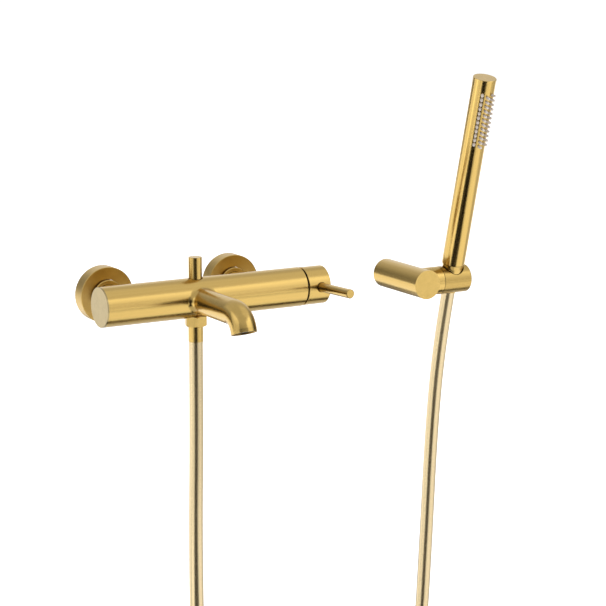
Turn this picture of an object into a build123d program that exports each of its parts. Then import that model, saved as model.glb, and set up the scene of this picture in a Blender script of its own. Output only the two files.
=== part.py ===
from build123d import *
import os
from math import cos, pi, radians, sin, tan

# Bath shower mixer for the wall, with diverter, hose, stick handset and wall holder.
# Millimetres. The wall is the plane y = 0 and the mixer stands in front of it, on the side of -y.
# x runs to the right, z up. The origin lies on the wall, midway between the two water inlets,
# at the height of the mixer body's axis. Threads are drawn plain.

# Clearances
thread_gap = 0.05
running_gap = 0.05
seat_gap = 0.1
loose_gap = 0.3
overrun = 5.0

# Mixer body
inlet_spacing = 150.0
axis_reach = 72.0
body_radius = 21.0
body_left = 110.0
body_right = 124.0
boss_radius = 14.0
boss_rise = 4.0
boss_blend = 1.5
way_radius = 3.0
way_back = 11.6
way_height = 8.5
cross_way_radius = 2.6
mixed_way_radius = 4.0
mixed_way_drop = 4.0
way_stop = 4.0
port_bore_depth = 8.0
inlet_way_radius = 5.0

# Left end plug
end_plate = 1.6
plug_rim = 5.0
plug_length = 9.0
plug_wall = 3.0
ring_section = 1.8
ring_setback = 3.0

# Spout: a bent tube that leaves the body level and turns down
spout_radius = 13.5
spout_blend = 6.0
spout_drop = 1.0
spout_bend_reach = 157.6
spout_bend_radius = 21.6
spout_bend_angle = 70.0
spout_tail = 4.0
spout_way_radius = 9.5
spout_way_start = 13.0

# Aerator in the end of the spout
aerator_radius = 12.2
aerator_recess = 0.7
aerator_height = 6.0
aerator_wall = 1.5
aerator_seal_height = 1.4
insert_recess = 1.0
insert_height = 4.0
slot_width = 1.1
slot_depth = 2.2
outer_slots = 18
inner_slots = 9

# Wall inlets: eccentric union, nut, neck and rosette; lengths along the inlet run out of the wall
rosette_radius = 30.0
rosette_depth = 16.0
rosette_wall = 1.5
rosette_dish = 1.2
rosette_edge = 0.6
rosette_hole_gap = 0.8
rosette_hub_reach = 8.0
nut_radius = 16.5
nut_show = 2.5
nut_length = 14.0
nut_flange = 2.5
nut_edge = 0.7
neck_radius = 12.3
neck_bore = 7.0
neck_collar = 1.6
neck_spigot_radius = 9.5
neck_spigot_length = 8.0
union_thread_radius = 13.2
wall_thread_radius = 10.48
wall_thread_length = 18.0
union_web = 2.0
union_web_radius = 16.5
eccentricity = 7.5
washer_height = 2.0
washer_bore = 5.0

# Cartridge, along the body's axis from the floor of its chamber to the right
chamber_depth = 34.0
chamber_radius = 17.2
cartridge_radius = 17.0
cartridge_base_height = 5.0
cartridge_wall = 2.7
cartridge_roof = 3.5
port_seal_stand = 0.6
port_radius = 2.6
port_back = 8.0
port_height = 6.8
mixed_port_radius = 4.0
mixed_port_front = 5.0
port_seal_wall = 1.3
disc_height = 3.5
fixed_disc_radius = 14.0
moving_disc_radius = 11.0
moving_disc_height = 3.0
moving_pocket_height = 1.6
carrier_height = 3.5
rotor_height = 7.0
rotor_neck_radius = 9.5
rotor_neck_length = 6.0
rotor_play = 0.2
stem_width = 7.0
stem_play = 0.2
stem_pin_radius = 1.5
stem_pivot_reach = 24.0
stem_ball_radius = 2.2
stem_throat_radius = 1.4
retaining_radius = 18.4
retaining_bore = 12.0
retaining_height = 7.0
retaining_recess = 0.5

# Handle: cap on the cartridge stem, lever rod and grub screw
handle_gap = 2.6
handle_step = 0.5
handle_length = 26.1
handle_wall = 3.5
handle_cup_depth = 8.0
handle_edge = 0.9
handle_tilt = 18.0
handle_clearance = 0.6
stem_socket_depth = 7.6
lever_setback = 11.6
lever_radius = 4.95
lever_length = 61.2
lever_seat = 18.6
lever_shank_radius = 3.0
lever_shank_length = 8.0
lever_seat_flare = 0.9
lever_edge = 0.7
lever_rise = 2.4
handle_screw_radius = 2.5
handle_screw_length = 9.0
handle_screw_setback = 14.6

# Diverter, on the vertical axis of the spout's plane
knob_radius = 7.1
knob_rise = 22.0
knob_edge = 0.35
knob_socket = 12.0
spotface_radius = 7.8
spotface_depth = 1.8
knob_gap = 0.7
diverter_bore = 7.4
diverter_floor = 12.0
sleeve_wall = 1.35
sleeve_top = 8.0
seat_bore = 4.3
seat_height = 2.5
upper_seat_height = 1.5
bonnet_length = 10.6
diverter_stem_radius = 2.5
valve_radius = 5.7
valve_height = 3.0
diverter_lift = 7.5
spout_port_radius = 2.2
spout_port_height = 5.2
diverter_spring_radius = 3.5
diverter_spring_wire = 0.9
diverter_spring_turns = 4

# Shower outlet below the body, with the hose nut, washer and ferrule
outlet_radius = 9.6
outlet_bore = 5.5
outlet_root = 6.0
outlet_flat_depth = 2.2
outlet_flat_margin = 0.5
outlet_show = 3.5
hose_washer_height = 2.1
hose_washer_bore = 5.5
hose_nut_flats = 21.6
hose_nut_height = 10.9
hose_nut_floor = 2.0
hose_nut_turn = 12.0
hose_nut_edge = 1.0
ferrule_radius = 7.9
ferrule_show = 16.6
ferrule_bore = 4.5

# Wall holder: post, arm and swivelling socket
post_x = 279.0
bracket_drop = 10.4
post_radius = 16.2
post_length = 87.5
post_wall = 2.8
post_front = 3.0
arm_reach = 69.6
arm_radius = 15.6
arm_length = 24.9
arm_end_wall = 4.0
arm_wall = 3.2
spigot_length = 16.0
base_hole_radius = 2.3
base_hole_spacing = 14.0
base_head_radius = 4.4
base_head_depth = 2.4
post_screw_radius = 2.5
post_screw_height = 8.0
post_screw_dimple = 1.2
friction_ring_radius = 15.0
friction_ring_height = 0.6
bolt_radius = 3.0
bolt_head_radius = 5.0
bolt_head_height = 3.0
bolt_thread_length = 4.6
spring_washer_radius = 5.8
spring_washer_height = 1.5
holder_length = 35.4
holder_edge = 1.6
socket_setback = 19.0
stick_lean = 15.0
mouth_radius = 13.1
mouth_depth = 8.0
slot_gap = 0.5

# Handset: heights run along the stick from the axis of the arm
stick_radius = 12.8
stick_wall = 1.2
stick_bottom = 20.5
stick_top = 238.0
top_plate = 1.6
top_spigot = 8.0
water_tube_radius = 10.2
water_tube_wall = 1.4
connector_height = 13.5
connector_thread_radius = 9.9
connector_bore = 5.5
limiter_radius = 7.5
limiter_height = 3.0
limiter_seat_depth = 6.0
limiter_hole = 1.8
nozzle_rows = 12
nozzle_columns = 3
nozzle_pitch = 5.1
nozzle_column_angle = 27.5
nozzle_first = 163.4
nozzle_radius = 1.6
nozzle_tip_radius = 1.4
nozzle_length = 4.4
nozzle_hole_gap = 0.2
nozzle_stagger_share = 0.5
nozzle_pad_half_angle = 46.0
nozzle_pad_margin = 4.0
spray_turn = 7.0

# Conical nut and ferrule at the handset's end of the hose
cone_top_radius = 12.6
cone_shoulder_radius = 11.5
cone_shoulder_drop = 4.7
cone_foot_radius = 9.7
cone_foot = 13.0
cone_gap = 0.1
cone_seam = 0.5
cone_floor = 6.5
cone_thread_radius = 9.95
top_collar = 1.5
top_washer_height = 2.0
top_washer_bore = 5.0
top_ferrule_show = 1.0

# Hose, with the points of its route between the runs at its two ends
hose_radius = 7.6
hose_arc_share = 0.45
stick_run = 70.0
hose_route = [
    (0, -72.0, -140.0), (-3.0, -72.5, -262.0), (-1.0, -71.0, -392.0), (12.0, -68.0, -515.0),
    (45.0, -63.0, -613.0), (102.0, -56.0, -676.0), (175.0, -48.0, -688.0), (245.0, -41.0, -647.0),
    (290.0, -34.0, -558.0), (312.0, -29.0, -444.0), (320.2, -27.0, -318.0), (322.3, -32.0, -195.0)]

# Frames: z is the axis of the pieces that are turned about it
body_axis = Plane(origin=(0, -axis_reach, 0), x_dir=(0, 1, 0), z_dir=(1, 0, 0))
upright = Plane(origin=(0, -axis_reach, 0), x_dir=(1, 0, 0), z_dir=(0, 0, 1))
lever_x = body_right + handle_gap + handle_length - lever_setback
rise_sin = sin(radians(lever_rise))
rise_cos = cos(radians(lever_rise))
lever_axis = Plane(origin=(lever_x, -axis_reach, 0), x_dir=(1, 0, 0), z_dir=(0, -rise_cos, rise_sin))
post_axis = Plane(origin=(post_x, 0, -bracket_drop), x_dir=(1, 0, 0), z_dir=(0, -1, 0))
arm_axis = Plane(origin=(post_x, -arm_reach, -bracket_drop), x_dir=(0, 1, 0), z_dir=(1, 0, 0))
holder_start = arm_length + friction_ring_height
holder_end = holder_start + holder_length
socket_x = post_x + holder_end - socket_setback
lean_sin = sin(radians(stick_lean))
lean_cos = cos(radians(stick_lean))
stick_axis = Plane(origin=(socket_x, -arm_reach, -bracket_drop), x_dir=(1, 0, 0), z_dir=(0,
    -lean_sin, lean_cos))

# Levels worked out from the sizes above
left_face = end_plate - body_left
plug_radius = body_radius - plug_rim
handle_radius = body_radius - handle_step
chamber_floor = body_right - chamber_depth
boss_end = axis_reach - body_radius - boss_rise
nut_front = rosette_depth + nut_show
nut_back = nut_front - nut_length
nut_shoulder = nut_front - nut_flange
collar_back = nut_shoulder - neck_collar
union_front = collar_back - washer_height
base_bottom = chamber_floor + port_seal_stand
base_top = base_bottom + cartridge_base_height
discs_meet = base_top + disc_height
carrier_bottom = discs_meet + moving_disc_height
carrier_top = carrier_bottom + carrier_height
rotor_bottom = carrier_top + rotor_play
rotor_shoulder = rotor_bottom + rotor_height
stem_pivot = chamber_floor + stem_pivot_reach
stem_ball = carrier_top - stem_throat_radius / 2
retaining_top = body_right - retaining_recess
retaining_bottom = retaining_top - retaining_height
cap_left = body_right + handle_gap
cap_right = cap_left + handle_length
socket_floor = cap_left + handle_cup_depth + stem_socket_depth
sleeve_radius = diverter_bore - thread_gap
sleeve_bore = sleeve_radius - sleeve_wall
valve_rest = seat_height - diverter_floor
upper_seat = valve_rest + valve_height + diverter_lift + seat_gap
spotface_height = body_radius - spotface_depth
knob_top = body_radius + knob_rise
bonnet_top = spotface_height - loose_gap
bonnet_bottom = bonnet_top - bonnet_length
knob_bottom = spotface_height + knob_gap
outlet_top = body_radius - outlet_root
outlet_end = body_radius + outlet_show
outlet_flat = body_radius - outlet_flat_depth
hose_nut_top = outlet_flat + loose_gap
hose_nut_corner = hose_nut_flats / 2 / cos(radians(30))
hose_nut_bottom = hose_nut_top + hose_nut_height
ferrule_bottom = hose_nut_bottom + ferrule_show
ferrule_collar_bottom = hose_nut_floor - hose_nut_bottom
cone_top = stick_bottom - cone_seam
cone_shoulder = cone_top - cone_shoulder_drop
cone_collar_top = cone_floor + top_collar
connector_bottom = cone_collar_top + top_washer_height
connector_top = stick_bottom + connector_height
water_tube_top = stick_top - top_plate - top_spigot
stick_bore = stick_radius - stick_wall
hose_end = -(cone_foot + top_ferrule_show)


def turned(frame, profile):
    """Solid of revolution about the frame's z axis from (radius, height) points."""
    outline = Polyline([(radius, 0, height) for radius, height in profile], close=True)
    return frame * revolve(make_face(outline), Axis.Z)


def bar(frame, radius, start, end):
    return turned(frame, [(0, start), (radius, start), (radius, end), (0, end)])


def ring(frame, outer, inner, start, end):
    return turned(frame, [(inner, start), (outer, start), (outer, end), (inner, end)])


def moved(frame, x, y):
    """The frame shifted across its axis."""
    return Plane(frame.origin + frame.x_dir * x + frame.y_dir * y, x_dir=frame.x_dir, z_dir=frame.z_dir)


def block(frame, x_range, y_range, z_range):
    """Box between two limits along each axis of the frame."""
    middle = [(low + high) / 2 for low, high in (x_range, y_range, z_range)]
    size = [high - low for low, high in (x_range, y_range, z_range)]
    return frame * Pos(*middle) * Box(*size)


def inlet_axis(side):
    """Axis of the left (-1) or right (1) inlet, running out of the wall."""
    return Plane(origin=(side * inlet_spacing / 2, 0, 0), x_dir=(1, 0, 0), z_dir=(0, -1, 0))


def spout_path(reach_start):
    """Centre line of the spout from a distance in front of the body's axis to its end."""
    start = (-axis_reach - reach_start, -spout_drop)
    level = Line(start, (-spout_bend_reach, -spout_drop))
    bend = JernArc(level @ 1, (-1, 0), spout_bend_radius, spout_bend_angle)
    tail = Line(bend @ 1, (bend @ 1) + (bend % 1) * spout_tail)
    return Plane.YZ * Curve([level, bend, tail])


def swept_round(path, radius):
    section = Plane(origin=path @ 0, z_dir=path % 0) * Circle(radius)
    return sweep(section, path=path)


def spout_end():
    """Frame on the face of the spout's outlet, looking the way the water leaves."""
    path = spout_path(0)
    return Plane(origin=path @ 1, x_dir=(1, 0, 0), z_dir=path % 1)


def body_ways():
    """Drilled waterways from the inlets to the cartridge and from there to the diverter."""
    way_end = chamber_floor - way_stop
    port_start = chamber_floor - port_bore_depth
    ways = [bar(moved(body_axis, 0, -mixed_way_drop), mixed_way_radius, 0, way_end)]
    ways.append(bar(mixed_port(), mixed_port_radius, port_start, chamber_floor))
    for port in port_frames():
        ways.append(bar(port, port_radius, port_start, chamber_floor))
    for side in (-1, 1):
        way_start = left_face + plug_length if side < 0 else inlet_spacing / 2
        way_level = -side * way_height
        cross = Plane(origin=(side * inlet_spacing / 2, way_back - axis_reach, 0), z_dir=(0, 0, -side))
        ways.append(bar(inlet_axis(side), inlet_way_radius, boss_end, axis_reach - way_back))
        ways.append(bar(moved(body_axis, way_back, way_level), way_radius, way_start, way_end))
        ways.append(bar(cross, cross_way_radius, 0, way_height))
    return ways


def mixer_body():
    body = bar(body_axis, body_radius, left_face, body_right)
    spout = swept_round(spout_path(0), spout_radius)
    casting = body + spout
    casting = fillet(new_edges(body, spout, combined=casting), spout_blend)
    for side in (-1, 1):
        boss = bar(inlet_axis(side), boss_radius, boss_end, axis_reach)
        plain = casting
        casting = casting + boss
        casting = fillet(new_edges(plain, boss, combined=casting), boss_blend)
        spigot_bore = bar(inlet_axis(side), neck_spigot_radius + thread_gap, boss_end - overrun,
                          boss_end + neck_spigot_length + loose_gap)
        casting = casting - spigot_bore
    casting = casting - bar(body_axis, plug_radius + thread_gap, left_face - overrun,
        left_face + plug_length)
    casting = casting - bar(body_axis, chamber_radius, chamber_floor, body_right + overrun)
    casting = casting - bar(body_axis, retaining_radius + thread_gap, retaining_bottom,
        body_right + overrun)
    for way in body_ways():
        casting = casting - way
    casting = casting - bar(upright, spotface_radius, spotface_height, body_radius + overrun)
    casting = casting - bar(upright, diverter_bore, -diverter_floor, body_radius)
    casting = casting - bar(upright, hose_nut_corner + outlet_flat_margin, -body_radius - overrun,
        -outlet_flat)
    casting = casting - bar(upright, outlet_bore, -body_radius - overrun, 0)
    casting = casting - bar(upright, outlet_radius + thread_gap, -body_radius - overrun, -outlet_top)
    casting = casting - swept_round(spout_path(spout_way_start), spout_way_radius)
    port = Plane(origin=(0, -axis_reach, spout_port_height), z_dir=(0, -1, 0))
    casting = casting - bar(port, spout_port_radius, 0, spout_way_start + overrun)
    outlet_depth = aerator_recess + aerator_height + aerator_seal_height
    casting = casting - bar(spout_end(), aerator_radius, -outlet_depth, overrun)
    return casting


def end_plug():
    """Left end plate with its threaded spigot and a groove for the ring."""
    back = left_face + plug_length - thread_gap
    groove_far = back - ring_setback + ring_section
    groove_near = back - ring_setback
    groove = plug_radius - ring_section
    cup = plug_radius - plug_wall - ring_section
    return turned(body_axis, [
        (0, -body_left), (body_radius - loose_gap, -body_left), (body_radius, loose_gap - body_left),
        (body_radius, left_face), (plug_radius, left_face), (plug_radius, groove_near),
        (groove, groove_near), (groove, groove_far), (plug_radius, groove_far), (plug_radius, back),
        (cup, back), (cup, left_face), (0, left_face)])


def end_plug_ring():
    back = left_face + plug_length - thread_gap
    near = back - ring_setback
    return ring(body_axis, plug_radius, plug_radius - ring_section + thread_gap, near + thread_gap,
                near + ring_section - thread_gap)


def rosette(side):
    hole = nut_radius + rosette_hole_gap
    hub = nut_radius + loose_gap
    face = rosette_depth - rosette_dish
    lip = face - rosette_wall
    hub_outer = hole + rosette_wall
    inner = rosette_radius - rosette_wall
    return turned(inlet_axis(side), [
        (rosette_radius, 0), (rosette_radius, rosette_depth - rosette_edge),
        (rosette_radius - rosette_edge, rosette_depth), (hole, face), (hole, lip), (hub, lip),
        (hub, rosette_hub_reach), (hub_outer, rosette_hub_reach), (hub_outer, lip),
        (inner, rosette_depth - rosette_wall), (inner, 0)])


def union_nut(side):
    return turned(inlet_axis(side), [
        (neck_radius + loose_gap, nut_front), (nut_radius - nut_edge, nut_front),
        (nut_radius, nut_front - nut_edge), (nut_radius, nut_back),
        (union_thread_radius + thread_gap, nut_back), (union_thread_radius + thread_gap, nut_shoulder),
        (neck_radius + loose_gap, nut_shoulder)])


def inlet_neck(side):
    """Tube screwed into the body, with the collar that the nut pulls on."""
    collar = union_thread_radius - seat_gap
    return turned(inlet_axis(side), [
        (neck_bore, collar_back), (collar, collar_back), (collar, nut_shoulder), (neck_radius,
        nut_shoulder),
        (neck_radius, boss_end), (neck_spigot_radius, boss_end),
        (neck_spigot_radius, boss_end + neck_spigot_length), (neck_bore, boss_end + neck_spigot_length)])


def inlet_washer(side):
    return ring(inlet_axis(side), union_thread_radius - seat_gap, washer_bore, union_front, collar_back)


def eccentric_union(side):
    """Union whose wall thread lies below the thread for the nut, so that it sets the height."""
    front = inlet_axis(side)
    back = moved(front, 0, -eccentricity)
    web = moved(front, 0, -eccentricity / 3)
    solid = bar(front, union_thread_radius, 0, union_front)
    solid = solid + bar(web, union_web_radius, 0, union_web)
    solid = solid + bar(back, wall_thread_radius, -wall_thread_length, union_web)
    solid = solid - bar(front, neck_bore, 0, union_front + overrun)
    return solid - bar(back, neck_bore, -wall_thread_length - overrun, union_web)


def aerator_housing():
    end = spout_end()
    top = -aerator_recess
    outer = aerator_radius - thread_gap
    return ring(end, outer, outer - aerator_wall, top - aerator_height, top)


def aerator_insert():
    """Disc with two rings of water slots."""
    end = spout_end()
    radius = aerator_radius - thread_gap - aerator_wall - thread_gap
    top = -aerator_recess - insert_recess
    disc = bar(end, radius, top - insert_height, top)
    for count, inner, outer in ((outer_slots, radius / 2 + slot_width, radius - slot_width),
                                (inner_slots, slot_width, radius / 2)):
        slot = Pos((inner + outer) / 2, 0, top) * Box(outer - inner, slot_width, slot_depth * 2)
        for step in range(count):
            disc = disc - end * (Rot(0, 0, 360 * step / count) * slot)
    return disc


def aerator_seal():
    outer = aerator_radius - thread_gap
    top = -aerator_recess - aerator_height
    return ring(spout_end(), outer, outer - aerator_wall, top - aerator_seal_height, top)


def port_frames():
    """Axes of the hot and the cold port of the cartridge."""
    return [moved(body_axis, port_back, side * port_height) for side in (1, -1)]


def mixed_port():
    return moved(body_axis, -mixed_port_front, 0)


def cartridge_base():
    base = bar(body_axis, cartridge_radius, base_bottom, base_top)
    for port in port_frames():
        base = base - bar(port, port_radius, base_bottom - overrun, base_top + overrun)
    return base - bar(mixed_port(), mixed_port_radius, base_bottom - overrun, base_top + overrun)


def cartridge_port_seals():
    """Three flat rubber rings between the base and the floor of the chamber."""
    seals = [ring(port, port_radius + port_seal_wall, port_radius, chamber_floor, base_bottom)
             for port in port_frames()]
    seals.append(ring(mixed_port(), mixed_port_radius + port_seal_wall, mixed_port_radius,
                      chamber_floor, base_bottom))
    return Compound(seals)


def cartridge_housing():
    inner = rotor_radius()
    roof = retaining_bottom - cartridge_roof
    return turned(body_axis, [
        (inner + running_gap, base_top), (cartridge_radius, base_top), (cartridge_radius, retaining_bottom),
        (rotor_neck_radius + running_gap, retaining_bottom), (rotor_neck_radius + running_gap, roof),
        (inner + running_gap, roof)])


def rotor_radius():
    return cartridge_radius - cartridge_wall - running_gap


def fixed_ceramic_disc():
    disc = bar(body_axis, fixed_disc_radius, base_top, discs_meet)
    for port in port_frames():
        disc = disc - bar(port, port_radius, base_top - overrun, discs_meet + overrun)
    return disc - bar(mixed_port(), mixed_port_radius, base_top - overrun, discs_meet + overrun)


def moving_ceramic_disc():
    """Disc with the blind pocket that joins the inlet ports to the mixed port."""
    disc = bar(body_axis, moving_disc_radius, discs_meet, carrier_bottom)
    pocket = block(body_axis, (-mixed_port_front, port_back / 2), (-port_height, port_height),
                   (discs_meet - overrun, discs_meet + moving_pocket_height))
    return disc - pocket


def disc_carrier():
    """Plastic carrier on the moving disc with the round pocket for the stem's ball."""
    carrier = bar(body_axis, moving_disc_radius, carrier_bottom, carrier_top)
    pocket = stem_ball_radius + loose_gap
    return carrier - bar(body_axis, pocket, stem_ball - pocket, carrier_top + overrun)


def stem_slot_limits():
    """Half lengths of the rotor's slot towards the front and the back, for the tilted stem."""
    lean = tan(radians(handle_tilt))
    half = stem_width / 2 / cos(radians(handle_tilt)) + stem_play
    front = half + (stem_pivot - rotor_bottom) * lean
    back = half + (rotor_shoulder + rotor_neck_length - stem_pivot) * lean
    return -front, back


def cartridge_rotor():
    """Turning part of the cartridge that carries the stem on its pin."""
    neck_top = rotor_shoulder + rotor_neck_length
    rotor = turned(body_axis, [
        (0, rotor_bottom), (rotor_radius(), rotor_bottom), (rotor_radius(), rotor_shoulder - rotor_play),
        (rotor_neck_radius, rotor_shoulder - rotor_play), (rotor_neck_radius, neck_top), (0, neck_top)])
    half = stem_width / 2 + stem_play
    rotor = rotor - block(body_axis, stem_slot_limits(), (-half, half), (rotor_bottom - overrun,
        neck_top + overrun))
    return rotor - bar(pin_axis(), stem_pin_radius + thread_gap, -rotor_neck_radius - overrun,
                       rotor_neck_radius + overrun)


def pin_axis():
    return Plane(origin=(stem_pivot, -axis_reach, 0), x_dir=(1, 0, 0), z_dir=(0, 0, 1))


def stem_pin():
    reach = rotor_neck_radius - stem_pin_radius
    return bar(pin_axis(), stem_pin_radius, -reach, reach)


def cartridge_stem():
    """Square bar with a throat and a ball at its inner end."""
    half = stem_width / 2
    shank_start = carrier_top + stem_throat_radius
    stem = block(body_axis, (-half, half), (-half, half), (shank_start, socket_floor - seat_gap))
    stem = stem + bar(body_axis, stem_throat_radius, stem_ball, shank_start)
    stem = stem + Pos(stem_ball, -axis_reach, 0) * Sphere(stem_ball_radius)
    return stem - bar(pin_axis(), stem_pin_radius + running_gap, -stem_width, stem_width)


def cartridge_nut():
    """Ring nut that holds the cartridge down, with four slots for its key."""
    nut = ring(body_axis, retaining_radius, retaining_bore, retaining_bottom, retaining_top)
    key = block(body_axis, (retaining_bore - overrun, (retaining_bore + retaining_radius) / 2),
                (-slot_width, slot_width), (retaining_top - slot_depth, retaining_top + overrun))
    for quarter in range(4):
        nut = nut - key.rotate(Axis(body_axis.origin, body_axis.z_dir), 90 * quarter)
    return nut


def handle_cap():
    """Cap on the stem; the wall side of its rim is cut back so that it clears the body when it tilts."""
    cap = bar(body_axis, handle_radius, cap_left, cap_right)
    cap = chamfer(cap.faces().sort_by(Axis.X)[0].edges(), handle_edge / 3)
    cap = fillet(cap.faces().sort_by(Axis.X)[-1].edges(), handle_edge)
    cap = cap - bar(body_axis, handle_radius - handle_wall, cap_left - overrun, cap_left + handle_cup_depth)
    half = stem_width / 2 + seat_gap
    cap = cap - block(body_axis, (-half, half), (-half, half), (cap_left, socket_floor))
    flare = lever_radius + lever_seat_flare
    cap = cap - turned(lever_axis, [
        (0, lever_seat), (lever_radius + seat_gap, lever_seat), (flare, handle_radius),
        (flare, handle_radius + overrun), (0, handle_radius + overrun)])
    cap = cap - bar(lever_axis, lever_shank_radius + thread_gap,
        lever_seat - lever_shank_length - loose_gap,
                    handle_radius)
    cap = cap - bar(handle_screw_axis(), handle_screw_radius + thread_gap, 0, handle_radius + overrun)
    return cap - rim_relief()


def rim_relief():
    """Wedge cut off the rim: the tilted cap just clears the end of the body."""
    lean = radians(handle_tilt)
    level = stem_pivot + (body_right + handle_clearance - stem_pivot) / cos(lean)
    far = handle_radius + overrun
    near = (cap_left - level) / tan(lean)
    outline = [(near, cap_left), (far, level + far * tan(lean)), (far, cap_left - overrun), (near,
        cap_left - overrun)]
    wedge = make_face(Polyline([(x, 0, z) for x, z in outline], close=True))
    return body_axis * extrude(wedge, amount=far, both=True)


def lever_rod():
    end = lever_seat + lever_length
    return turned(lever_axis, [
        (0, lever_seat - lever_shank_length), (lever_shank_radius, lever_seat - lever_shank_length),
        (lever_shank_radius, lever_seat), (lever_radius, lever_seat), (lever_radius, end - lever_edge),
        (lever_radius - lever_edge, end), (0, end)])


def handle_screw_axis():
    x = cap_right - handle_screw_setback
    return Plane(origin=(x, -axis_reach, 0), x_dir=(1, 0, 0), z_dir=(0, 1, 0))


def handle_grub_screw():
    tip = stem_width / 2
    end = tip + handle_screw_length
    screw = bar(handle_screw_axis(), handle_screw_radius, tip, end)
    key = handle_screw_axis() * Pos(0, 0, end) * extrude(
        RegularPolygon(handle_screw_radius / 2, 6), amount=handle_screw_radius, both=True)
    return screw - key


def diverter_sleeve():
    """Plastic sleeve with the two valve seats and the ports to the cartridge and the spout."""
    bottom = -diverter_floor
    lower_seat = bottom + seat_height
    sleeve = turned(upright, [
        (seat_bore, bottom), (sleeve_radius, bottom), (sleeve_radius, sleeve_top), (sleeve_bore,
        sleeve_top),
        (sleeve_bore, upper_seat + upper_seat_height), (seat_bore, upper_seat + upper_seat_height),
        (seat_bore, upper_seat), (sleeve_bore, upper_seat), (sleeve_bore, lower_seat), (seat_bore,
        lower_seat)])
    mixed = moved(body_axis, 0, -mixed_way_drop)
    sleeve = sleeve - bar(mixed, spout_port_radius, 0, diverter_bore + overrun)
    port = Plane(origin=(0, -axis_reach, spout_port_height), z_dir=(0, -1, 0))
    return sleeve - bar(port, spout_port_radius, 0, diverter_bore + overrun)


def diverter_bonnet():
    outer = diverter_bore - thread_gap
    return ring(upright, outer, diverter_stem_radius + running_gap, bonnet_bottom, bonnet_top)


def diverter_stem():
    return bar(upright, diverter_stem_radius, valve_rest, knob_bottom + knob_socket - loose_gap)


def diverter_valve():
    return ring(upright, valve_radius, diverter_stem_radius, valve_rest, valve_rest + valve_height)


def diverter_knob():
    knob = bar(upright, knob_radius, knob_bottom, knob_top)
    knob = fillet(knob.edges().filter_by(GeomType.CIRCLE), knob_edge)
    return knob - bar(upright, diverter_stem_radius + thread_gap, knob_bottom - overrun,
                      knob_bottom + knob_socket)


def diverter_spring():
    """Return spring between the valve and the bonnet."""
    bottom = valve_rest + valve_height + diverter_spring_wire / 2 + seat_gap
    top = bonnet_bottom - diverter_spring_wire / 2 - seat_gap
    pitch = (top - bottom) / diverter_spring_turns
    coil = Helix(pitch=pitch, height=top - bottom, radius=diverter_spring_radius)
    section = Plane(origin=coil @ 0, z_dir=coil % 0) * Rectangle(diverter_spring_wire, diverter_spring_wire)
    return upright * Pos(0, 0, bottom) * sweep(section, path=coil, is_frenet=True)


def outlet_nipple():
    return ring(upright, outlet_radius, outlet_bore, -outlet_end, -outlet_top)


def hose_washer():
    bottom = -outlet_end - hose_washer_height
    return ring(upright, outlet_radius - seat_gap, hose_washer_bore, bottom, -outlet_end)


def hose_nut():
    """Hexagonal nut with its lower corners turned off."""
    flat = hose_nut_flats / 2
    corner = hose_nut_corner
    hexagon = upright * Pos(0, 0, -hose_nut_bottom) * extrude(
        RegularPolygon(flat, 6, major_radius=False, rotation=hose_nut_turn),
        amount=hose_nut_bottom - hose_nut_top)
    rounding = turned(upright, [
        (0, -hose_nut_bottom), (flat, -hose_nut_bottom), (corner, hose_nut_edge - hose_nut_bottom),
        (corner, -hose_nut_top - hose_nut_edge), (flat, -hose_nut_top), (0, -hose_nut_top)])
    nut = hexagon & rounding
    nut = nut - bar(upright, outlet_radius + thread_gap, ferrule_collar_bottom, -hose_nut_top + overrun)
    return nut - bar(upright, ferrule_radius + loose_gap, -hose_nut_bottom - overrun, ferrule_collar_bottom)


def hose_ferrule():
    """Pressed sleeve on the lower end of the hose, with the collar that sits in the nut."""
    collar_top = -outlet_end - hose_washer_height
    return turned(upright, [
        (ferrule_bore, -ferrule_bottom), (ferrule_radius, -ferrule_bottom), (ferrule_radius,
        ferrule_collar_bottom),
        (outlet_radius - seat_gap, ferrule_collar_bottom), (outlet_radius - seat_gap, collar_top),
        (ferrule_bore, collar_top)])


def stick_point(height):
    """World point on the stick's axis."""
    return stick_axis.origin + stick_axis.z_dir * height


def hose_points():
    """Route of the hose from the ferrule under the body to the ferrule under the handset."""
    start = (0, -axis_reach, -ferrule_bottom)
    end = stick_point(hose_end)
    before_end = stick_point(hose_end - stick_run)
    return [Vector(point) for point in (start, *hose_route, before_end, end)]


def arc_radii(points):
    """Largest tangent arc at each inner point, from its shorter run."""
    radii = []
    for before, here, after in zip(points, points[1:], points[2:]):
        turn = radians((here - before).get_angle(after - here))
        shorter = min((here - before).length, (after - here).length)
        radii.append(hose_arc_share * shorter / tan(turn / 2))
    return radii


def shower_hose():
    points = hose_points()
    radii = arc_radii(points)
    route = FilletPolyline(*points, radius=radii)
    print("hose arc radii", [round(radius, 1) for radius in radii])
    print("hose length", round(route.length, 1))
    hose = swept_round(route, hose_radius)
    section_area = pi * hose_radius * hose_radius
    print("hose volume over section times length", round(hose.volume / (section_area * route.length), 4))
    return hose


def cone_radius(height):
    """Outer radius of the conical nut below its shoulder."""
    share = (height + cone_foot) / (cone_shoulder + cone_foot)
    return cone_foot_radius + (cone_shoulder_radius - cone_foot_radius) * share


def hose_cone_nut():
    return turned(stick_axis, [
        (hose_radius + loose_gap, -cone_foot), (cone_foot_radius, -cone_foot),
        (cone_shoulder_radius, cone_shoulder), (cone_top_radius, cone_top), (cone_thread_radius, cone_top),
        (cone_thread_radius, cone_floor), (hose_radius + loose_gap, cone_floor)])


def hose_top_ferrule():
    return turned(stick_axis, [
        (ferrule_bore, hose_end), (hose_radius, hose_end), (hose_radius, cone_floor),
        (cone_thread_radius - loose_gap, cone_floor), (cone_thread_radius - loose_gap, cone_collar_top),
        (ferrule_bore, cone_collar_top)])


def hose_top_washer():
    return ring(stick_axis, cone_thread_radius - loose_gap, top_washer_bore, cone_collar_top,
        connector_bottom)


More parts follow.
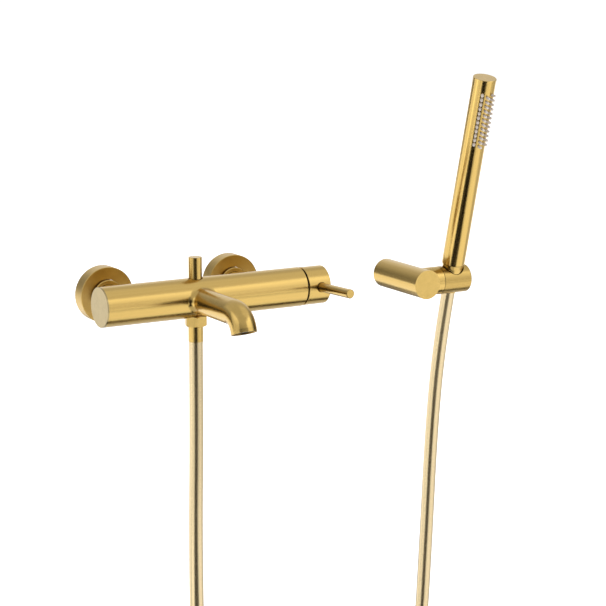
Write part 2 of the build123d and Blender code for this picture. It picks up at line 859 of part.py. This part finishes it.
def handset_connector():
    """Threaded insert that closes the foot of the handset and takes the hose nut."""
    seat = connector_top - limiter_seat_depth
    body = stick_bore - thread_gap
    return turned(stick_axis, [
        (connector_bore, connector_bottom), (connector_thread_radius, connector_bottom),
        (connector_thread_radius, stick_bottom), (body, stick_bottom), (body, connector_top),
        (limiter_radius + thread_gap, connector_top), (limiter_radius + thread_gap, seat),
        (connector_bore, seat)])


def flow_limiter():
    seat = connector_top - limiter_seat_depth
    return ring(stick_axis, limiter_radius, limiter_hole, seat, seat + limiter_height)


def spray_frame(angle, height):
    """Frame at a nozzle: z leaves the stick, turned from the front by the angle."""
    turn = radians(angle - spray_turn)
    out = stick_axis.x_dir * sin(turn) - stick_axis.y_dir * cos(turn)
    return Plane(origin=stick_point(height), x_dir=stick_axis.z_dir, z_dir=out)


def nozzle_frames():
    """Three columns of nozzles; every other column stands half a pitch higher."""
    frames = []
    middle = (nozzle_columns - 1) / 2
    for column in range(nozzle_columns):
        shift = nozzle_pitch * nozzle_stagger_share * ((column + 1) % 2)
        for row in range(nozzle_rows):
            height = nozzle_first + row * nozzle_pitch + shift
            frames.append(spray_frame((column - middle) * nozzle_column_angle, height))
    return frames


def handset_tube():
    tube = ring(stick_axis, stick_radius, stick_bore, stick_bottom, stick_top - top_plate)
    holes = [bar(frame, nozzle_radius + nozzle_hole_gap, stick_bore - overrun, stick_radius + overrun)
             for frame in nozzle_frames()]
    return tube - holes


def handset_top_cap():
    cap = turned(stick_axis, [
        (0, water_tube_top), (stick_bore - thread_gap, water_tube_top),
        (stick_bore - thread_gap, stick_top - top_plate), (stick_radius, stick_top - top_plate),
        (stick_radius, stick_top - loose_gap), (stick_radius - loose_gap, stick_top), (0, stick_top)])
    return cap


def nozzle_pad_limits():
    low = nozzle_first - nozzle_pad_margin
    high = nozzle_first + nozzle_rows * nozzle_pitch + nozzle_pad_margin - nozzle_pitch / 2
    return low, high


def pad_sector(outer, inner, half_angle):
    """Part of a tube wall behind the nozzles."""
    low, high = nozzle_pad_limits()
    wall = ring(stick_axis, outer, inner, low, high)
    front = spray_frame(0, low)
    reach = outer / cos(radians(half_angle)) + overrun
    side = reach * tan(radians(half_angle))
    wedge = front * extrude(
        Plane.YZ * make_face(Polyline((0, 0), (side, reach), (-side, reach), close=True)),
            amount=high - low)
    return wall & wedge


def nozzle_insert():
    """Silicone pad inside the tube with all its nozzles standing out through the holes."""
    outer = stick_bore - thread_gap
    pad = pad_sector(outer, water_tube_radius + thread_gap, nozzle_pad_half_angle)
    tip = stick_radius + nozzle_length
    start = (outer + water_tube_radius) / 2
    pins = [turned(frame, [(0, start), (nozzle_radius, start), (nozzle_tip_radius, tip), (0, tip)])
            for frame in nozzle_frames()]
    return pad + pins


def handset_water_tube():
    """Inner tube with a long window behind the nozzle pad."""
    tube = ring(stick_axis, water_tube_radius, water_tube_radius - water_tube_wall, connector_top,
        water_tube_top)
    low, high = nozzle_pad_limits()
    window = block(spray_frame(0, 0), (low + nozzle_pad_margin, high - nozzle_pad_margin),
                   (-connector_bore, connector_bore), (0, water_tube_radius + overrun))
    return tube - window


def bracket_base():
    """Round spigot screwed to the wall; the post slips over it."""
    radius = post_radius - post_wall - seat_gap
    base = bar(post_axis, radius, 0, spigot_length)
    for side in (-1, 1):
        hole = moved(post_axis, side * base_hole_spacing / 2, 0)
        base = base - bar(hole, base_hole_radius, -overrun, spigot_length + overrun)
        base = base - bar(hole, base_head_radius, spigot_length - base_head_depth, spigot_length + overrun)
    return base - bar(post_screw_axis(), post_screw_radius + thread_gap,
        radius - post_screw_dimple, radius + overrun)


def post_screw_axis():
    return Plane(origin=(post_x, -post_screw_height, -bracket_drop), x_dir=(1, 0, 0), z_dir=(0, 0, -1))


def bracket_post():
    """Post and its arm in one piece, hollow, with the bolt hole in the arm's end wall."""
    post = bar(post_axis, post_radius, 0, post_length)
    post = post + bar(arm_axis, arm_radius, 0, arm_length)
    post = post - bar(post_axis, post_radius - post_wall, -overrun, post_length - post_front)
    post = post - bar(arm_axis, arm_radius - arm_wall, 0, arm_length - arm_end_wall)
    post = post - bar(arm_axis, bolt_radius + running_gap, 0, arm_length + overrun)
    return post - bar(post_screw_axis(), post_screw_radius + thread_gap, 0, post_radius + overrun)


def bracket_grub_screw():
    tip = post_radius - post_wall - seat_gap - post_screw_dimple
    screw = bar(post_screw_axis(), post_screw_radius, tip, post_radius - thread_gap)
    key = post_screw_axis() * Pos(0, 0, post_radius - thread_gap) * extrude(
        RegularPolygon(post_screw_radius / 2, 6), amount=post_screw_radius / 2, both=True)
    return screw - key


def friction_ring():
    return ring(arm_axis, friction_ring_radius, bolt_radius + running_gap, arm_length, holder_start)


def spring_washer():
    wall = arm_length - arm_end_wall
    return ring(arm_axis, spring_washer_radius, bolt_radius + running_gap,
        wall - spring_washer_height, wall)


def swivel_bolt():
    head_top = arm_length - arm_end_wall - spring_washer_height
    head_bottom = head_top - bolt_head_height
    bolt = bar(arm_axis, bolt_head_radius, head_bottom, head_top)
    bolt = bolt + bar(arm_axis, bolt_radius, head_top, holder_start + bolt_thread_length)
    key = arm_axis * Pos(0, 0, head_bottom) * extrude(
        RegularPolygon(bolt_radius, 6, major_radius=False), amount=bolt_head_height / 2, both=True)
    return bolt - key


def swivel_holder():
    """Round holder with a conical socket for the hose nut and a slot for the hose at the wall side."""
    holder = bar(arm_axis, arm_radius, holder_start, holder_end)
    holder = fillet(holder.faces().sort_by(Axis.X)[-1].edges(), holder_edge)
    low = -arm_radius - overrun
    mouth = arm_radius - mouth_depth
    socket = turned(stick_axis, [
        (0, low), (cone_radius(low) + cone_gap, low), (cone_radius(mouth) + cone_gap, mouth),
        (mouth_radius, arm_radius), (mouth_radius, arm_radius + overrun), (0, arm_radius + overrun)])
    half = hose_radius + slot_gap
    slot = block(stick_axis, (-half, half), (0, arm_radius + overrun), (low, arm_radius + overrun))
    thread = bar(arm_axis, bolt_radius + thread_gap, holder_start - overrun,
        holder_start + bolt_thread_length + thread_gap)
    return holder - socket - slot - thread


PARTS = {
    "mixer_body": mixer_body,
    "end_plug": end_plug,
    "end_plug_ring": end_plug_ring,
    "aerator_housing": aerator_housing,
    "aerator_insert": aerator_insert,
    "aerator_seal": aerator_seal,
    "cartridge_base": cartridge_base,
    "cartridge_port_seals": cartridge_port_seals,
    "cartridge_housing": cartridge_housing,
    "fixed_ceramic_disc": fixed_ceramic_disc,
    "moving_ceramic_disc": moving_ceramic_disc,
    "disc_carrier": disc_carrier,
    "cartridge_rotor": cartridge_rotor,
    "stem_pin": stem_pin,
    "cartridge_stem": cartridge_stem,
    "cartridge_nut": cartridge_nut,
    "handle_cap": handle_cap,
    "lever_rod": lever_rod,
    "handle_grub_screw": handle_grub_screw,
    "diverter_sleeve": diverter_sleeve,
    "diverter_bonnet": diverter_bonnet,
    "diverter_stem": diverter_stem,
    "diverter_valve": diverter_valve,
    "diverter_knob": diverter_knob,
    "diverter_spring": diverter_spring,
    "outlet_nipple": outlet_nipple,
    "hose_washer": hose_washer,
    "hose_nut": hose_nut,
    "hose_ferrule": hose_ferrule,
    "shower_hose": shower_hose,
    "hose_cone_nut": hose_cone_nut,
    "hose_top_ferrule": hose_top_ferrule,
    "hose_top_washer": hose_top_washer,
    "handset_connector": handset_connector,
    "flow_limiter": flow_limiter,
    "handset_tube": handset_tube,
    "handset_top_cap": handset_top_cap,
    "nozzle_insert": nozzle_insert,
    "handset_water_tube": handset_water_tube,
    "bracket_base": bracket_base,
    "bracket_post": bracket_post,
    "bracket_grub_screw": bracket_grub_screw,
    "friction_ring": friction_ring,
    "spring_washer": spring_washer,
    "swivel_bolt": swivel_bolt,
    "swivel_holder": swivel_holder,
}

SIDED_PARTS = {
    "rosette": rosette,
    "union_nut": union_nut,
    "inlet_neck": inlet_neck,
    "inlet_washer": inlet_washer,
    "eccentric_union": eccentric_union,
}


def save(node, shape):
    export_step(shape, f"parts/{node}.step")


os.makedirs("parts", exist_ok=True)
for node, make in PARTS.items():
    save(node, make())
for node, make in SIDED_PARTS.items():
    for name, side in (("left", -1), ("right", 1)):
        save(f"{node}_{name}", make(side))
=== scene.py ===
import bpy
import math
from mathutils import Matrix, Vector


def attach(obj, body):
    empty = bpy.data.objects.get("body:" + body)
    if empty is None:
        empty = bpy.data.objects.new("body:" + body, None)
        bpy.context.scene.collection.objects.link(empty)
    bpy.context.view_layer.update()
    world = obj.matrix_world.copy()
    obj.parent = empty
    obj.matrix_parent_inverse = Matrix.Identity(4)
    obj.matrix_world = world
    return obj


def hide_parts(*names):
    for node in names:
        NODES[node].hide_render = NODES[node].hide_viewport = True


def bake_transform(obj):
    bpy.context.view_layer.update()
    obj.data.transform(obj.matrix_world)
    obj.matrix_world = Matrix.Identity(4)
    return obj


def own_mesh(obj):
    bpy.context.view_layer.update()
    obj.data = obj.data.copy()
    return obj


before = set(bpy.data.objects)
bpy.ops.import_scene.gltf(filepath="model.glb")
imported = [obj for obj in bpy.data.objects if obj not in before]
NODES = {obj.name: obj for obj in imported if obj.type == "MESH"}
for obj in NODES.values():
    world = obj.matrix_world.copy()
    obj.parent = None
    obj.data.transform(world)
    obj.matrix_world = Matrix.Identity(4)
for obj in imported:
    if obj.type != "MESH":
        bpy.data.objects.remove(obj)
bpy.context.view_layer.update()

scene = bpy.context.scene

# Camera, fitted to the photograph; its focal length is in pixels of the photograph's width
SENSOR_WIDTH = 36.0
PHOTO_WIDTH = 606.0
FOCAL_LENGTH = 2200.0
NEAREST, FARTHEST = 0.05, 100.0
CAMERA_PLACE = (-1.0249, -2.0858, 0.4388)
CAMERA_LOOK = (0.4876, 0.8510, -0.1934)
CAMERA_RIGHT = (0.8675, -0.4975, 0.0)


def set_camera():
    data = bpy.data.cameras.new("camera")
    data.sensor_fit = "HORIZONTAL"
    data.sensor_width = SENSOR_WIDTH
    data.lens = SENSOR_WIDTH * FOCAL_LENGTH / PHOTO_WIDTH
    data.clip_start = NEAREST
    data.clip_end = FARTHEST
    camera = bpy.data.objects.new("camera", data)
    scene.collection.objects.link(camera)
    look = Vector(CAMERA_LOOK).normalized()
    right = Vector(CAMERA_RIGHT).normalized()
    up = right.cross(look).normalized()
    rows = [(right[i], up[i], -look[i], CAMERA_PLACE[i]) for i in range(3)]
    camera.matrix_world = Matrix((*rows, (0.0, 0.0, 0.0, 1.0)))
    scene.camera = camera


set_camera()


# Node materials
def remap(tree, value, given, result):
    """Map a value from the given span to the result's span, held at both ends."""
    node = tree.nodes.new("ShaderNodeMapRange")
    node.inputs["From Min"].default_value = given[0]
    node.inputs["From Max"].default_value = given[1]
    node.inputs["To Min"].default_value = result[0]
    node.inputs["To Max"].default_value = result[1]
    tree.links.new(value, node.inputs["Value"])
    return node.outputs["Result"]


def facing(tree, place, direction):
    """How far a place lies along a direction."""
    node = tree.nodes.new("ShaderNodeVectorMath")
    node.operation = "DOT_PRODUCT"
    node.inputs[1].default_value = direction
    tree.links.new(place, node.inputs[0])
    return node.outputs["Value"]


class Mat:
    """A node material with short calls for the nodes used here."""

    def __init__(self, name, color, metallic=0.0, roughness=0.5):
        self.material = bpy.data.materials.new(name)
        self.material.use_nodes = True
        self.tree = self.material.node_tree
        self.bsdf = self.tree.nodes["Principled BSDF"]
        self.bsdf.inputs["Base Color"].default_value = (*color, 1.0)
        self.bsdf.inputs["Metallic"].default_value = metallic
        self.bsdf.inputs["Roughness"].default_value = roughness

    def add(self, kind, **settings):
        node = self.tree.nodes.new(kind)
        for key, value in settings.items():
            setattr(node, key, value)
        return node

    def link(self, source, target):
        self.tree.links.new(source, target)

    def coordinates(self, scale=(1.0, 1.0, 1.0), tilt=0.0):
        """Object coordinates, turned about X by tilt degrees and scaled per axis."""
        place = self.add("ShaderNodeTexCoord")
        turn = self.add("ShaderNodeMapping", vector_type="POINT")
        turn.inputs["Rotation"].default_value = (math.radians(tilt), 0.0, 0.0)
        self.link(place.outputs["Object"], turn.inputs["Vector"])
        size = self.add("ShaderNodeMapping", vector_type="POINT")
        size.inputs["Scale"].default_value = scale
        self.link(turn.outputs["Vector"], size.inputs["Vector"])
        return size.outputs["Vector"]

    def noise(self, vector, scale, detail=3.0):
        node = self.add("ShaderNodeTexNoise")
        node.inputs["Scale"].default_value = scale
        node.inputs["Detail"].default_value = detail
        node.inputs["Roughness"].default_value = 0.6
        self.link(vector, node.inputs["Vector"])
        return node.outputs["Fac"]

    def color(self, value, low, high, dark, light):
        """Base colour from dark at the low value to light at the high one."""
        node = self.add("ShaderNodeValToRGB")
        node.color_ramp.elements[0].position = low
        node.color_ramp.elements[1].position = high
        node.color_ramp.elements[0].color = (*dark, 1.0)
        node.color_ramp.elements[1].color = (*light, 1.0)
        self.link(value, node.inputs["Fac"])
        self.link(node.outputs["Color"], self.bsdf.inputs["Base Color"])

    def roughness(self, value, low, high):
        """Roughness from low to high over the middle half of the value's span."""
        self.link(remap(self.tree, value, (0.25, 0.75), (low, high)), self.bsdf.inputs["Roughness"])

    def bump(self, height, strength, distance):
        node = self.add("ShaderNodeBump")
        node.inputs["Strength"].default_value = strength
        node.inputs["Distance"].default_value = distance
        self.link(height, node.inputs["Height"])
        self.link(node.outputs["Normal"], self.bsdf.inputs["Normal"])

    def tangent(self, axis, amount):
        node = self.add("ShaderNodeTangent", direction_type="RADIAL", axis=axis)
        self.link(node.outputs["Tangent"], self.bsdf.inputs["Tangent"])
        self.bsdf.inputs["Anisotropic"].default_value = amount


GOLD = (0.55, 0.375, 0.115)
GOLD_LIGHT = (0.59, 0.405, 0.13)
BRONZE = (0.46, 0.31, 0.093)
BRONZE_LIGHT = (0.50, 0.34, 0.105)
PALE_GOLD = (0.34, 0.265, 0.13)
PALE_GOLD_LIGHT = (0.37, 0.29, 0.145)

# Scales of the brushing's noise, across the lines and along them
FINE_ACROSS, FINE_ALONG = 900.0, 7.0
BROAD_ACROSS, BROAD_ALONG = 170.0, 3.0
BRUSHING_DEPTH = 0.00002


def brushed(name, along=None, dark=GOLD, light=GOLD_LIGHT, rough=(0.13, 0.24), tilt=0.0, spin=None,
            amount=0.6):
    """Brushed metal: fine lines run along one axis; spin gives turned faces their round brushing."""
    mat = Mat(name, light, 1.0, 0.3)
    fine = [FINE_ALONG if axis == along else FINE_ACROSS for axis in "XYZ"]
    broad = [BROAD_ALONG if axis == along else BROAD_ACROSS for axis in "XYZ"]
    fine_lines = mat.noise(mat.coordinates(fine, tilt), 1.0, 2.0)
    broad_lines = mat.noise(mat.coordinates(broad, tilt), 1.0, 3.0)
    mat.color(broad_lines, 0.3, 0.7, dark, light)
    mat.roughness(fine_lines, *rough)
    mat.bump(fine_lines, 0.05, BRUSHING_DEPTH)
    if spin:
        mat.tangent(spin, amount)
    return mat.material


def speckled(name, dark, light, metallic, rough, scale=260.0, depth=0.00003):
    """Moulded or machined surface with a fine grain."""
    mat = Mat(name, light, metallic, rough)
    grain = mat.noise(mat.coordinates(), scale, 4.0)
    mat.color(grain, 0.35, 0.7, dark, light)
    mat.roughness(grain, max(0.05, rough - 0.06), rough + 0.08)
    mat.bump(grain, 0.2, depth)
    return mat.material


MATERIALS = {
    "gold_x": brushed("gold_lines_x", "X", rough=(0.20, 0.27)),
    "gold_y": brushed("gold_lines_y", "Y", rough=(0.18, 0.27)),
    "gold_arm": brushed("gold_lines_arm", "X", BRONZE, BRONZE_LIGHT, rough=(0.25, 0.33)),
    "gold_z": brushed("gold_lines_z", "Z", rough=(0.21, 0.29)),
    "gold_stick": brushed("gold_lines_stick", "Z", tilt=-15.0),
    "gold_face_x": brushed("gold_turned_x", dark=PALE_GOLD, light=PALE_GOLD_LIGHT, spin="X", amount=0.7),
    "gold_face_y": brushed("gold_turned_y", rough=(0.28, 0.36), spin="Y", amount=0.9),
    "gold_face_z": brushed("gold_turned_z", spin="Z", amount=0.6),
    "brass": speckled("machined_brass", (0.50, 0.34, 0.13), (0.64, 0.46, 0.20), 1.0, 0.3),
    # Near-black brass for the cartridge nut is painted shade: it darkens the gap between the handle and
    # the body.
    "gap_shade_brass": speckled("brass_darkened_for_gap_shade", (0.045, 0.035, 0.022), (0.09, 0.07, 0.045), 1.0, 0.5),
    "steel": speckled("stainless_steel", (0.40, 0.40, 0.41), (0.56, 0.56, 0.57), 1.0, 0.28),
    "rubber": speckled("black_rubber", (0.010, 0.010, 0.010), (0.030, 0.030, 0.030), 0.0, 0.65, 600.0),
    "white": speckled("white_plastic", (0.74, 0.74, 0.72), (0.86, 0.86, 0.84), 0.0, 0.4, 400.0),
    "dark": speckled("dark_plastic", (0.020, 0.020, 0.022), (0.055, 0.055, 0.058), 0.0, 0.45, 500.0),
    "ceramic": speckled("lapped_ceramic", (0.80, 0.79, 0.76), (0.90, 0.89, 0.86), 0.0, 0.15, 300.0,
                        depth=0.00001),
    "silicone": speckled("pale_silicone", (0.70, 0.62, 0.55), (0.80, 0.72, 0.64), 0.0, 0.5, 500.0),
}

DRESS = {
    "gold_x": ["mixer_body", "handle_cap"],
    "gold_arm": ["swivel_holder"],
    "gold_y": ["lever_rod", "bracket_post", "inlet_neck_left", "inlet_neck_right"],
    "gold_z": ["hose_nut", "hose_ferrule", "diverter_knob"],
    "gold_stick": ["handset_tube", "hose_cone_nut", "hose_top_ferrule"],
    "gold_face_x": ["end_plug"],
    "gold_face_y": ["rosette_left", "rosette_right", "union_nut_left", "union_nut_right"],
    "gold_face_z": ["handset_top_cap", "aerator_housing"],
    "brass": ["eccentric_union_left", "eccentric_union_right", "outlet_nipple", "diverter_bonnet",
              "handset_connector", "bracket_base"],
    # The cartridge nut takes the near-black brass that paints shade into the gap under the handle.
    "gap_shade_brass": ["cartridge_nut"],
    "steel": ["cartridge_stem", "stem_pin", "handle_grub_screw", "diverter_stem", "diverter_spring",
              "bracket_grub_screw", "spring_washer", "swivel_bolt"],
    "rubber": ["end_plug_ring", "aerator_seal", "cartridge_port_seals", "diverter_valve", "hose_washer",
               "hose_top_washer", "inlet_washer_left", "inlet_washer_right"],
    "white": ["cartridge_base", "cartridge_housing", "cartridge_rotor", "disc_carrier", "diverter_sleeve",
              "handset_water_tube"],
    "dark": ["aerator_insert", "friction_ring", "flow_limiter"],
    "ceramic": ["fixed_ceramic_disc", "moving_ceramic_disc"],
    "silicone": ["nozzle_insert"],
}


def dress(obj, material):
    obj.data.materials.clear()
    obj.data.materials.append(material)


for key, names in DRESS.items():
    for name in names:
        dress(NODES[name], MATERIALS[key])
        for polygon in NODES[name].data.polygons:
            polygon.use_smooth = True


# Hose, on the route of the part's source
LEAN = math.radians(15.0)
SOCKET = Vector((0.3209, -0.0696, -0.0104))
STICK = Vector((0.0, -math.sin(LEAN), math.cos(LEAN)))
HOSE_END = SOCKET + STICK * -0.014
HOSE_START = Vector((0.0, -0.072, -0.0466))
HOSE_ROUTE = [
    HOSE_START, (0.0, -0.072, -0.140), (-0.003, -0.0725, -0.262), (-0.001, -0.071, -0.392),
    (0.012, -0.068, -0.515), (0.045, -0.063, -0.613), (0.102, -0.056, -0.676), (0.175, -0.048, -0.688),
    (0.245, -0.041, -0.647), (0.290, -0.034, -0.558), (0.312, -0.029, -0.444), (0.3202, -0.027, -0.318),
    (0.3223, -0.032, -0.195), SOCKET + STICK * -0.084, HOSE_END]
HOSE_RADIUS = 0.0076
HOSE_SIDES = 28
END_RING = 0.0003


def hose_cover():
    """Smooth clear cover over a fine spiral: pale gold with faint slanting lines."""
    mat = Mat("hose_cover", (0.68, 0.55, 0.36), 0.9, 0.2)
    wave = mat.add("ShaderNodeTexWave", wave_type="BANDS", bands_direction="Z", wave_profile="SIN")
    wave.inputs["Scale"].default_value = 190.0
    wave.inputs["Distortion"].default_value = 0.0
    mat.link(mat.coordinates((0.6, 0.6, 1.0)), wave.inputs["Vector"])
    spiral = wave.outputs["Fac"]
    mat.color(spiral, 0.1, 0.9, (0.60, 0.475, 0.27), (0.65, 0.52, 0.305))
    mat.roughness(spiral, 0.22, 0.26)
    mat.bump(spiral, 0.03, 0.00004)
    mat.bsdf.inputs["Coat Weight"].default_value = 0.25
    mat.bsdf.inputs["Coat Roughness"].default_value = 0.2
    return mat.material


def hose_line():
    """Smooth line of the hose: one NURBS spline with the route's points."""
    curve = bpy.data.curves.new("hose_line", "CURVE")
    curve.dimensions = "3D"
    spline = curve.splines.new("NURBS")
    spline.points.add(len(HOSE_ROUTE) - 1)
    for point, place in zip(spline.points, HOSE_ROUTE):
        point.co = (*place, 1.0)
    spline.order_u = 3
    spline.use_endpoint_u = True
    spline.resolution_u = 12
    line = bpy.data.objects.new("hose_line", curve)
    scene.collection.objects.link(line)
    bpy.context.view_layer.update()
    mesh = bpy.data.meshes.new_from_object(line)
    points = [vertex.co.copy() for vertex in mesh.vertices]
    bpy.data.objects.remove(line)
    bpy.data.meshes.remove(mesh)
    return points


def tube(name, points, radius, sides):
    """Closed tube round a line, with a ring of vertices at each point and no twist between rings.

    One more ring stands just inside each end, so that the flat ends don't bend the shading of the side.
    """
    first = points[0] + (points[1] - points[0]).normalized() * END_RING
    final = points[-1] + (points[-2] - points[-1]).normalized() * END_RING
    points = [points[0], first, *points[1:-1], final, points[-1]]
    vertices, faces = [], []
    across = (points[1] - points[0]).normalized().orthogonal().normalized()
    last = len(points) - 1
    for i, point in enumerate(points):
        along = (points[min(i + 1, last)] - points[max(i - 1, 0)]).normalized()
        across = (across - along * across.dot(along)).normalized()
        other = along.cross(across)
        for k in range(sides):
            angle = 2 * math.pi * k / sides
            vertices.append(point + (across * math.cos(angle) + other * math.sin(angle)) * radius)
    for i in range(last):
        for k in range(sides):
            a, b = i * sides + k, i * sides + (k + 1) % sides
            faces.append((a, b, b + sides, a + sides))
    faces.append(tuple(reversed(range(sides))))
    faces.append(tuple(last * sides + k for k in range(sides)))
    mesh = bpy.data.meshes.new(name)
    mesh.from_pydata(vertices, [], faces)
    mesh.update()
    for polygon in mesh.polygons:
        polygon.use_smooth = len(polygon.vertices) == 4
    obj = bpy.data.objects.new(name, mesh)
    scene.collection.objects.link(obj)
    return obj


def make_hose():
    centre_line = hose_line()
    hose = tube("hose", centre_line, HOSE_RADIUS, HOSE_SIDES)
    dress(hose, hose_cover())
    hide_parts("shower_hose")
    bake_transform(hose)


make_hose()


def make_spring():
    spring = bpy.data.objects.new("return_spring", NODES["diverter_spring"].data.copy())
    scene.collection.objects.link(spring)
    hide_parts("diverter_spring")
    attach(spring, "fixed_parts")
    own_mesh(spring)


make_spring()

# Floor, under the hanging hose and far enough back to meet the white background
FLOOR_SIZE = 14.0
FLOOR_PLACE = (0.0, 1.5, -0.78)
ABOVE_FLOOR = 0.01
FLAG_HEIGHT = -0.765


def plane(name, size, place):
    mesh = bpy.data.meshes.new(name)
    half = size / 2
    corners = [(-half, -half, 0), (half, -half, 0), (half, half, 0), (-half, half, 0)]
    mesh.from_pydata(corners, [], [(0, 1, 2, 3)])
    obj = bpy.data.objects.new(name, mesh)
    obj.location = place
    scene.collection.objects.link(obj)
    return obj


def pale_floor():
    """Pale floor that glows from under the object backwards, so that it has no horizon there."""
    floor = plane("floor", FLOOR_SIZE, FLOOR_PLACE)
    mat = Mat("pale_floor", (0.90, 0.90, 0.90), 0.0, 0.8)
    mat.color(mat.noise(mat.coordinates(), 3.0), 0.2, 0.8, (0.89, 0.89, 0.89), (0.91, 0.91, 0.91))
    place = mat.add("ShaderNodeTexCoord").outputs["Object"]
    back = facing(mat.tree, place, (0.0, 1.0, 0.0))
    glow = remap(mat.tree, back, (-0.95, -0.65), (0.0, 0.85))
    mat.bsdf.inputs["Emission Color"].default_value = (1.0, 1.0, 1.0, 1.0)
    mat.link(glow, mat.bsdf.inputs["Emission Strength"])
    dress(floor, mat.material)


def studio_world():
    """Dim grey room, white behind the object and pale above it."""
    world = bpy.data.worlds.new("studio")
    scene.world = world
    world.use_nodes = True
    tree = world.node_tree
    place = tree.nodes.new("ShaderNodeTexCoord").outputs["Generated"]
    behind = remap(tree, facing(tree, place, (0.42, 0.90, 0.10)), (0.72, 0.90), (0.10, 1.05))
    above = remap(tree, facing(tree, place, (0.0, 0.0, 1.0)), (0.25, 0.6), (0.10, 0.75))
    most = tree.nodes.new("ShaderNodeMath")
    most.operation = "MAXIMUM"
    tree.links.new(behind, most.inputs[0])
    tree.links.new(above, most.inputs[1])
    tree.links.new(most.outputs["Value"], tree.nodes["Background"].inputs["Color"])
    tree.nodes["Background"].inputs["Strength"].default_value = 1.0


pale_floor()
studio_world()

# Lights, with a radiance that doesn't change with their size
CENTRE = Vector((0.12, -0.1, 0.05))


def area_light(name, width, height, radiance):
    data = bpy.data.lights.new(name, "AREA")
    data.shape = "RECTANGLE"
    data.size = width
    data.size_y = height
    data.energy = radiance * math.pi * width * height
    obj = bpy.data.objects.new(name, data)
    obj.visible_camera = False
    scene.collection.objects.link(obj)
    return obj


def softbox(name, azimuth, elevation, distance, width, height, radiance):
    """Area light at a direction seen from the object; azimuth 0 is in front, 90 to the right."""
    turn, rise = math.radians(azimuth), math.radians(elevation)
    out = Vector((math.sin(turn) * math.cos(rise), -math.cos(turn) * math.cos(rise), math.sin(rise)))
    obj = area_light(name, width, height, radiance)
    obj.location = CENTRE + out * distance
    obj.rotation_mode = "QUATERNION"
    obj.rotation_quaternion = (-out).to_track_quat("-Z", "Y")


def board(name, x, y, width, depth, radiance):
    """Area light lying on the floor with its light upwards."""
    obj = area_light(name, width, depth, radiance)
    obj.location = (x, y, FLOOR_PLACE[2] + ABOVE_FLOOR)
    obj.rotation_euler = (math.pi, 0.0, 0.0)


def flag(name, place, width, height, shade, tilt=0.0, turn=0.0):
    """Dark or grey screen that only reflections see."""
    obj = plane(name, 1.0, place)
    obj.scale = (width, height, 1.0)
    obj.rotation_euler = (math.radians(tilt), 0.0, math.radians(turn))
    mat = Mat(name, (shade, shade, shade), 0.0, 0.9)
    grain = mat.noise(mat.coordinates(), 4.0)
    mat.color(grain, 0.3, 0.7, (shade, shade, shade), (shade * 1.1, shade * 1.1, shade * 1.1))
    mat.bsdf.inputs["Specular IOR Level"].default_value = 0.0
    dress(obj, mat.material)
    obj.visible_camera = False
    obj.visible_diffuse = False


softbox("front_right", 38.0, 27.0, 2.4, 2.2, 1.75, 1.05)
softbox("front_right_low", 38.0, -3.0, 2.9, 4.0, 1.15, 0.95)
softbox("front_left", -92.0, 8.0, 2.4, 2.2, 2.8, 0.85)
softbox("overhead", 75.0, 62.0, 2.2, 2.0, 2.0, 0.25)
softbox("back_left", -140.0, 10.0, 2.6, 1.2, 2.2, 0.3)
board("board_right", 0.95, -1.05, 1.5, 1.62, 0.65)
board("board_left", -1.3, -0.55, 1.1, 1.7, 1.0)
flag("camera_side", (-0.98, -2.0, -0.2), 1.9, 1.14, 0.02, tilt=90.0, turn=-30.0)
flag("floor_side", (-0.62, -1.28, FLAG_HEIGHT), 1.4, 1.4, 0.02, turn=-30.0)
flag("floor_below", (0.6, -0.09, FLAG_HEIGHT), 1.0, 0.3, 0.01)
flag("floor_behind", (0.6, 1.4, FLAG_HEIGHT), 1.1, 0.9, 0.2)
scene.view_settings.view_transform = "Standard"
scene.view_settings.exposure = 0.0
